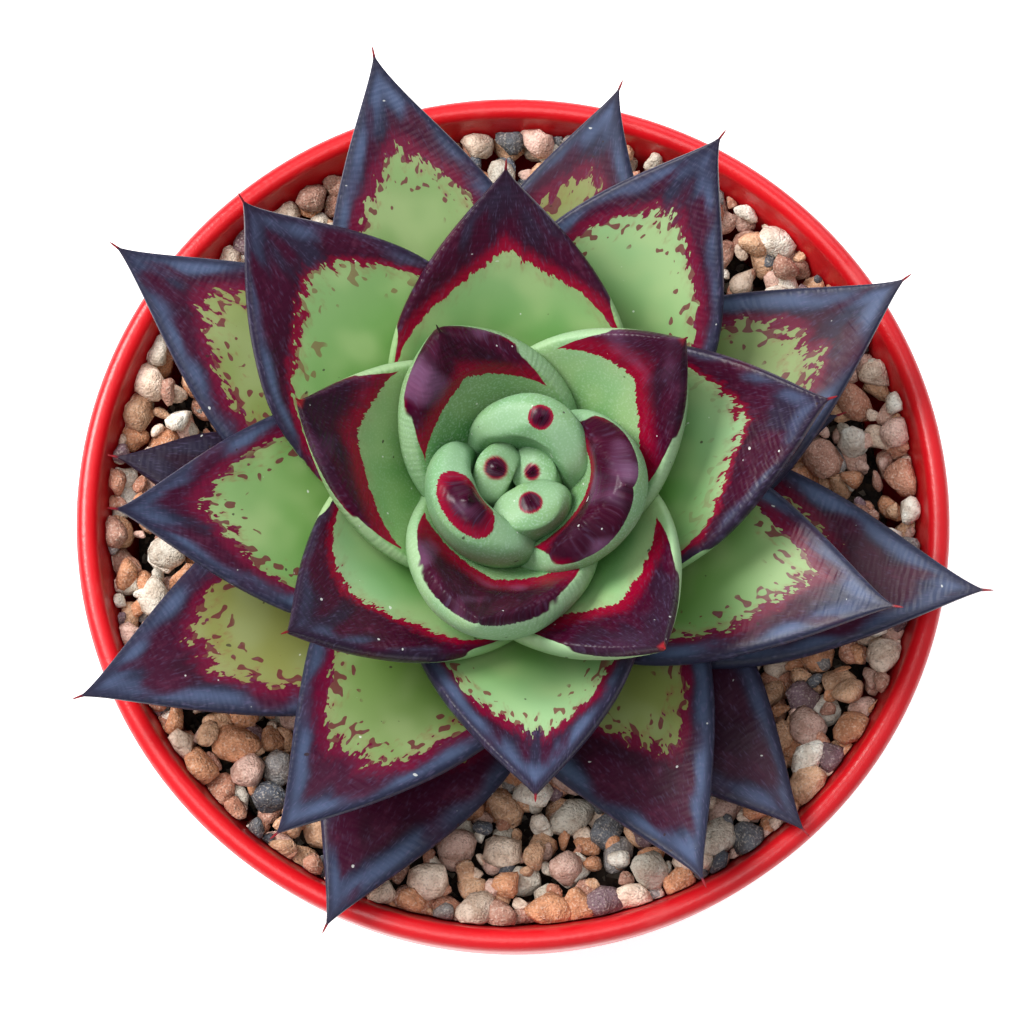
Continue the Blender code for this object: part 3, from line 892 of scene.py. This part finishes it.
def dome_point(seat):
    """(radius, height over the rim) on the stem's dome, an arc length out from its top."""
    steps = 200
    radius, height = 0.0, DOME_FOOT + DOME_HEIGHT
    for i in range(1, steps + 1):
        turn = math.pi / 2 * i / steps
        next_radius = STEM_RADIUS * math.sin(turn)
        next_height = DOME_FOOT + DOME_HEIGHT * math.cos(turn)
        step = math.hypot(next_radius - radius, next_height - height)
        if step >= seat:
            return Vector((next_radius, next_height))
        seat -= step
        radius, height = next_radius, next_height
    return Vector((STEM_RADIUS, DOME_FOOT - seat))


def leaf_sizes(number):
    """The named sizes of one leaf: its midline runs from the stem in one bend to its tip."""
    azimuth, reach, rise, half_width, swing, band, pale = LEAVES[number - 1]
    sizes = {name: knotted(number, knots) for name, knots in LEAF_KNOTS.items()}
    seat = dome_point(FIRST_SEAT + SEAT_STEP * (number - 1))
    tip = Vector((reach, rise))
    span = (tip - seat).length
    rising = math.atan2(rise - seat.y, reach - seat.x) - math.radians(sizes.pop("Bend"))
    start = Vector((math.cos(rising), math.sin(rising)))
    middle = seat + sizes.pop("Elbow") * span * start
    seat -= SEAT_SINK * start
    sizes.update(
        {
            "Number": number,
            "Azimuth": math.radians(azimuth),
            "Swing": math.radians(swing),
            "Half width": half_width,
            "Length": 1.02 * span,
            "Base": min(BASE_HALF_WIDTH / half_width, BASE_SHARE),
            "Seat radius": seat.x,
            "Seat height": seat.y,
            "Middle radius": middle.x,
            "Middle height": middle.y,
            "Tip radius": tip.x,
            "Tip height": tip.y,
            "Pale": pale,
        }
    )
    sizes.update(zip(("Band 1", "Band 2", "Band 3", "Band 4", "Band 5"), band))
    return sizes


def leaf_tree(skin):
    """One leaf from its sizes: a closed loft, with where each point lies on the leaf stored on it."""
    names = list(leaf_sizes(1))
    tree, given, result = new_tree("leaf", names)
    size = {name: out(tree, given, name) for name in names}
    grid = add_node(
        tree,
        "GeometryNodeMeshGrid",
        {"Size X": 1.0, "Size Y": 1.0, "Vertices X": LEAF_SIDES + 1, "Vertices Y": LEAF_RINGS},
    )
    grid_x, grid_y, _ = parts_of(tree, add_node(tree, "GeometryNodeInputPosition").outputs[0])
    row = (grid_y + 0.5) * (LEAF_RINGS - 1)
    cap = row.clamp()
    even = (row - 1.0).most(0.0) / (LEAF_RINGS - 2)
    along = 1.5 * even - 0.5 * even * even
    phase = (grid_x + 0.5) * math.tau
    across = phase.cosine()
    side = phase.sine()
    upper = side.step(-0.02, 0.02)
    out_x = across.size()

    # Midline, and the direction square to it
    back = 1.0 - along
    radius = back * back * size["Seat radius"] + 2.0 * along * back * size["Middle radius"]
    radius = radius + along * along * size["Tip radius"]
    height = back * back * size["Seat height"] + 2.0 * along * back * size["Middle height"]
    height = height + along * along * size["Tip height"]
    run = back * (size["Middle radius"] - size["Seat radius"])
    run = run + along * (size["Tip radius"] - size["Middle radius"])
    climb = back * (size["Middle height"] - size["Seat height"])
    climb = climb + along * (size["Tip height"] - size["Middle height"])
    pace = run.math("SQRT", run * run + climb * climb)
    square_radius = -1.0 * climb / pace
    square_height = run / pace

    # Half the width and the thickness, with the spine beyond the blade's own tip
    to_tip = back * size["Length"]
    to_blade = (to_tip - size["Spine"] * (to_tip / 0.006).decay()).most(0.0)
    from_seat = size["Base"] + FLARE * along
    drawn_in = 1.0 - size["Waist"] * (to_blade / size["Waist run"]).decay()
    blade = size["Taper"] * (to_blade + (to_blade * size["Blunt"]) ** 0.5)
    from_tip = (blade / size["Half width"] * drawn_in).most(0.0001)
    corners = from_seat ** -OUTLINE_POWER + from_tip ** -OUTLINE_POWER + 1.0
    half = size["Half width"] * corners ** (-1.0 / OUTLINE_POWER)
    needle = (to_tip / (0.6 * size["Spine"])).clamp() ** 0.6
    needle = SPINE_RADIUS * needle * (to_tip / (2.0 * size["Spine"])).decay()
    lumps = clouds(tree, vector(tree, across * 0.4, along * 3.0, size["Number"] * 3.7), 1.0, 1.0)
    half = half * (1.0 + 0.05 * (lumps - 0.5)) + needle
    ease = (along / 0.5).least(1.0)
    packed = PACKED_SHARE + (1.0 - PACKED_SHARE) * ease * ease * (3.0 - 2.0 * ease)
    point = (blade / (0.62 * size["Half width"])).least(1.0).most(0.0001)
    full = size["Thickness"] * packed * point ** 0.7 + 2.0 * needle
    rise_up = size["Upper share"] * full * (1.0 - out_x ** UPPER_CURVE).most(0.0) ** (1 / UPPER_CURVE)
    curve = size["Lower round"]
    rise_down = (size["Upper share"] - 1.0) * full * (1.0 - out_x ** curve).most(0.0) ** (1.0 / curve)
    rise = upper.mix(rise_down, rise_up)
    free = ((along - 0.3) / 0.4).clamp()
    swell = clouds(tree, vector(tree, across * half * 90.0, to_tip * 70.0, size["Number"] * 5.1), 1.0, 1.0)
    lift = size["Cup"] * free * half * across * across + rise + SWELL * (swell - 0.5) * free * point

    # Wrapped on an arc about the stem and turned to its azimuth
    lift = lift * cap
    half = half * cap
    arc = radius.most(size["Wrap"] * half)
    turn = half * across / arc
    out_to = arc + lift * square_radius
    ahead = radius - arc + out_to * turn.cosine()
    aside = out_to * turn.sine()
    facing = size["Azimuth"] + size["Swing"] * along * along
    x = ahead * facing.cosine() - aside * facing.sine() + STEM_AXIS[0]
    y = ahead * facing.sine() + aside * facing.cosine() + STEM_AXIS[1]
    z = height + lift * square_height + POT_HEIGHT

    # Where the band is, in mm: inside its inner boundary, and inside its outer one
    side_mm = across * half * 1000.0
    tip_mm = to_tip * 1000.0
    edge_mm = half * 1000.0 * (1.0 - out_x)
    t = (out_x / 0.9).least(1.15)
    left = across.math("GREATER_THAN", across, 0.0)
    near = left.mix(size["Band 4"], size["Band 2"])
    far = left.mix(size["Band 5"], size["Band 1"])
    reach = size["Band 3"] * (1.0 - t) * (1.0 - 2.0 * t)
    reach = reach + 4.0 * near * t * (1.0 - t) + far * t * (2.0 * t - 1.0)
    slope = (far - size["Band 3"]) / (size["Half width"] * 900.0)
    lean = 1.0 / slope.math("SQRT", 1.0 + slope * slope)
    band_in = (reach * (0.82 + 0.18 * upper) - tip_mm) * lean
    margin_in = size["Margin"] * (1.0 - (tip_mm - size["Margin run"]).step(0.0, 24.0)) - edge_mm
    corner = (1.0 - (band_in - margin_in).size() / 4.0).most(0.0)
    band_in = band_in.most(margin_in) + corner * corner
    rim_share = (tip_mm / far).clamp()
    rim_growth = rim_share * rim_share
    rim = size["Rim at tip"] + (size["Rim at end"] - size["Rim at tip"]) * rim_growth

    # The youngest leaves have a round spot about the tip instead of a band
    towards = size["Azimuth"] + size["Swing"]
    tip_x = size["Tip radius"] * towards.cosine() + STEM_AXIS[0]
    tip_y = size["Tip radius"] * towards.sine() + STEM_AXIS[1]
    off_x = x - tip_x
    off_y = y - tip_y
    off_z = z - POT_HEIGHT - size["Tip height"]
    off_side = (off_y * towards.cosine() - off_x * towards.sine()) * size["Spot stretch"]
    off_out = off_x * towards.cosine() + off_y * towards.sine()
    far_off = off_z.math("SQRT", off_side * off_side + off_out * off_out + off_z * off_z) * 1000.0
    spotted = size["Spot"].step(0.0, 0.1)
    band_in = spotted.mix(band_in, size["Spot"] - far_off)
    band_out = upper.mix(-1.0 * edge_mm, edge_mm) - rim
    fan = across.math("ARCTAN2", side_mm, tip_mm + 3.0) * 18.0
    from_point = side_mm.math("SQRT", side_mm * side_mm + (tip_mm + 3.0) * (tip_mm + 3.0))
    age = (size["Number"] - 1.0) / 31.0

    shape = grid.outputs["Mesh"]
    shape = remember(tree, shape, "leaf_band", band_in, band_out, edge_mm)
    shape = remember(tree, shape, "leaf_fan", fan, from_point, size["Number"] * 31.7)
    shape = remember(tree, shape, "leaf_look", age, size["Pale"], size["Ragged"])
    shape = remember(tree, shape, "leaf_place", tip_mm, margin_in, along)
    placed = add_node(tree, "GeometryNodeSetPosition", {"Geometry": shape})
    put(tree, placed, "Position", vector(tree, x, y, z))
    whole = {"Geometry": placed.outputs[0], "Distance": MERGE_DISTANCE}
    merged = add_node(tree, "GeometryNodeMergeByDistance", whole)
    flipped = add_node(tree, "GeometryNodeFlipFaces", {"Mesh": merged.outputs[0]})
    coat(tree, flipped, skin, result)
    return tree


def leaf_skin():
    """The skin of every leaf: green under a pale coat of wax, and the streaked dark band over it, with
    painted shade, painted sheen and painted highlights in its colour.
    """
    made, tree, shader = finish("leaf skin", paint(130, 170, 110), 0.42)
    band_in, band_out, edge = remembered(tree, "leaf_band")
    fan, from_point, number = remembered(tree, "leaf_fan")
    age, pale, ragged = remembered(tree, "leaf_look")
    tip, margin_in, along = remembered(tree, "leaf_place")
    where = object_place(tree)

    # Streaks fan out from the tip; the band's inner boundary is torn by them, least near the margins
    streaks = clouds(tree, vector(tree, fan * 0.9, from_point * 0.36, number), 1.0, 2.0, 0.62) - 0.5
    fine = clouds(tree, vector(tree, fan * 3.2, from_point * 0.75, number), 1.0, 1.0, 0.6) - 0.5
    loose = 0.22 + 0.78 * edge.step(3.0, 10.0)
    inside = band_in + ragged * loose * (3.2 * streaks + 1.2 * fine) + (0.5 + 0.5 * ragged.least(1.0)) * fine
    kept_out = band_out + 0.25 * fine
    soft = 0.12 + 0.6 * (0.10 - age).most(0.0) * 10.0
    band = (inside.least(kept_out) / soft).step(-0.5, 0.5)
    islands = clouds(tree, vector(tree, fan * 1.3, from_point * 0.6, number + 9.0), 1.0, 0.0, 0.5) - 0.56
    islands = (islands + band_in * 0.028).step(0.0, 0.03) * edge.step(3.0, 6.0) * age.step(0.38, 0.5)
    band = band.most(islands * (band_in + 7.0).step(0.0, 2.0) * 0.85)

    # The green: deeper near the stem, partly its own colour and partly painted shade of the crevices where
    # the leaves press together, paler and cooler outwards, yellower on old leaves
    mottle = clouds(tree, where, 120.0, 1.0, 0.55)
    grain = clouds(tree, where, 3200.0, 0.0, 0.5)
    fresh = blend(tree, pale, paint(108, 142, 72), paint(150, 188, 144))
    deep = blend(tree, age.step(0.1, 0.5), paint(84, 142, 80), paint(78, 130, 44))
    # Painted shade: on the young leaves of the bud the deep green reaches further out
    green = blend(tree, (along - (0.2 - age).most(0.0)).step(0.28, 0.70), deep, fresh)
    green = blend(tree, age.step(0.55, 0.85) * 0.8, green, paint(150, 156, 82))
    green = blend(tree, mottle.step(0.35, 0.7) * 0.45, green, paint(160, 182, 128))
    young = (0.36 - age).step(0.0, 0.2)
    green = blend(tree, (grain - 0.5).step(0.0, 0.25) * young * 0.3, green, paint(206, 224, 206))
    lip = (1.0 - edge).step(0.0, 0.9) * (0.45 - age).step(0.0, 0.2)
    green = blend(tree, lip * 0.4, green, paint(176, 200, 164))
    # Painted shade: the green is multiplied darker on the young leaves deep in the bud, and a little darker
    # on the oldest leaves
    depth = blend(tree, age.step(0.12, 0.35), paint(210, 226, 222), paint(255, 254, 250))
    depth = blend(tree, age.step(0.45, 0.8), depth, paint(226, 214, 218))
    green = blend(tree, 1.0, green, depth, "MULTIPLY")
    flush = (inside + 3.2).step(0.0, 3.2) * (age - 0.2).step(0.0, 0.2) * edge.step(1.0, 4.0)
    green = blend(tree, flush * (0.15 + 1.4 * streaks.most(0.0)), green, paint(128, 56, 52))

    # The band: crimson where it starts, then wine; the margins and the tip are slate on old leaves
    within = band_in + 2.0 * streaks * ragged.least(2.0) + 1.2 * fine
    blots = clouds(tree, vector(tree, fan * 0.3, from_point * 0.14, number + 5.0), 1.0, 0.0, 0.5) - 0.5
    wine = blend(tree, age.step(0.2, 0.6), paint(54, 0, 28), paint(56, 8, 36))
    wine = blend(tree, streaks.step(0.0, 0.25) * 0.35, wine, paint(92, 36, 62))
    wine = blend(tree, blots.step(-0.05, 0.2) * 0.5, wine, paint(30, 6, 22))
    crimson = blend(tree, age.step(0.34, 0.56), paint(128, 0, 36), paint(96, 10, 44))
    crimson_run = 2.2 - 1.5 * age.step(0.26, 0.42) + 0.6 * age.step(0.42, 0.55)
    crimson_run = (0.18 + 14.0 * (age - 0.09).clamp()).least(crimson_run)
    dark = blend(tree, (within / crimson_run).step(0.5, 3.0), crimson, wine)
    slate = blend(tree, age.step(0.3, 0.6), paint(38, 18, 38), paint(37, 39, 60))
    slated = (margin_in + 1.4 * streaks + 0.7 * fine + 8.0 * blots).step(0.6, 4.2)
    slated = slated.most((14.0 - tip + 6.0 * streaks + 14.0 * blots).step(0.0, 6.0)) * age.step(0.18, 0.4)
    # Painted highlight: the slate of older leaves is lighter and bluer a little in from the edge, where the
    # rolled margins catch the light
    crest_highlight = (edge - 0.4).step(0.0, 1.6) * (5.0 - edge).step(0.0, 2.6) * (age - 0.3).step(0.0, 0.2)
    slate = blend(tree, crest_highlight * (0.15 + 0.65 * (mottle + blots).step(0.2, 0.9)), slate, paint(80, 94, 126))
    dark = blend(tree, slated, dark, slate)
    dark = blend(tree, (pale * -1.0).clamp() * 0.85, dark, paint(30, 14, 32))
    # Fine lilac-grey streaks over the band: partly the wax bloom's own colour and partly painted sheen, the
    # sky's reflection on the glossy band
    dark = blend(tree, fine.step(0.02, 0.3) * (0.12 + 0.08 * slated), dark, paint(118, 108, 146))
    # Painted highlight: pale mauve glints in patches on the bands of the young leaves
    glint_patches = mottle.step(0.52, 0.72) * young * within.step(1.0, 3.0)
    dark = blend(tree, glint_patches * 0.45, dark, paint(140, 96, 134))
    dark = blend(tree, (5.0 - tip).step(0.0, 5.0) * 0.6 * age.step(0.1, 0.3), dark, paint(34, 16, 28))
    colour = blend(tree, band, green, dark)

    # The spine, then dark specks and grains of dust at the two ends of one noise
    spine = (2.1 - tip).step(0.0, 0.9) * (age - 0.24).step(0.0, 0.04)
    colour = blend(tree, spine * 0.85, colour, paint(142, 30, 36))
    coarse = clouds(tree, where, 900.0, 0.0, 0.5)
    specks = (0.15 - coarse).step(0.0, 0.03)
    colour = blend(tree, specks * 0.8, colour, paint(52, 34, 34))
    dusty = (coarse - 0.86).step(0.0, 0.03)
    colour = blend(tree, dusty * 0.6, colour, paint(226, 228, 224))
    put(tree, shader, "Base Color", colour)
    put(tree, shader, "Roughness", 0.50 - band * (0.22 - 0.14 * age - 0.2 * streaks))
    put(tree, shader, "Specular IOR Level", 0.30 - 0.12 * band)
    puckers = clouds(tree, vector(tree, edge * 0.45, from_point * 1.7, number), 1.0, 0.0, 0.5)
    puckered = (7.0 - edge).step(0.0, 3.0) * age.step(0.15, 0.4)
    height = puckers * (0.6 - 0.35 * age.step(0.2, 0.5) + puckered * 0.2) * band_in.step(-2.0, 1.0)
    relief(tree, shader, height, 0.00018)
    return made


leaf_nodes = leaf_tree(leaf_skin())
for number in range(1, len(LEAVES) + 1):
    leaf = grow(f"leaf_blade_{number:02d}", leaf_nodes, leaf_sizes(number))
    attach(leaf, "root")
    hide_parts(f"leaf_{number:02d}")
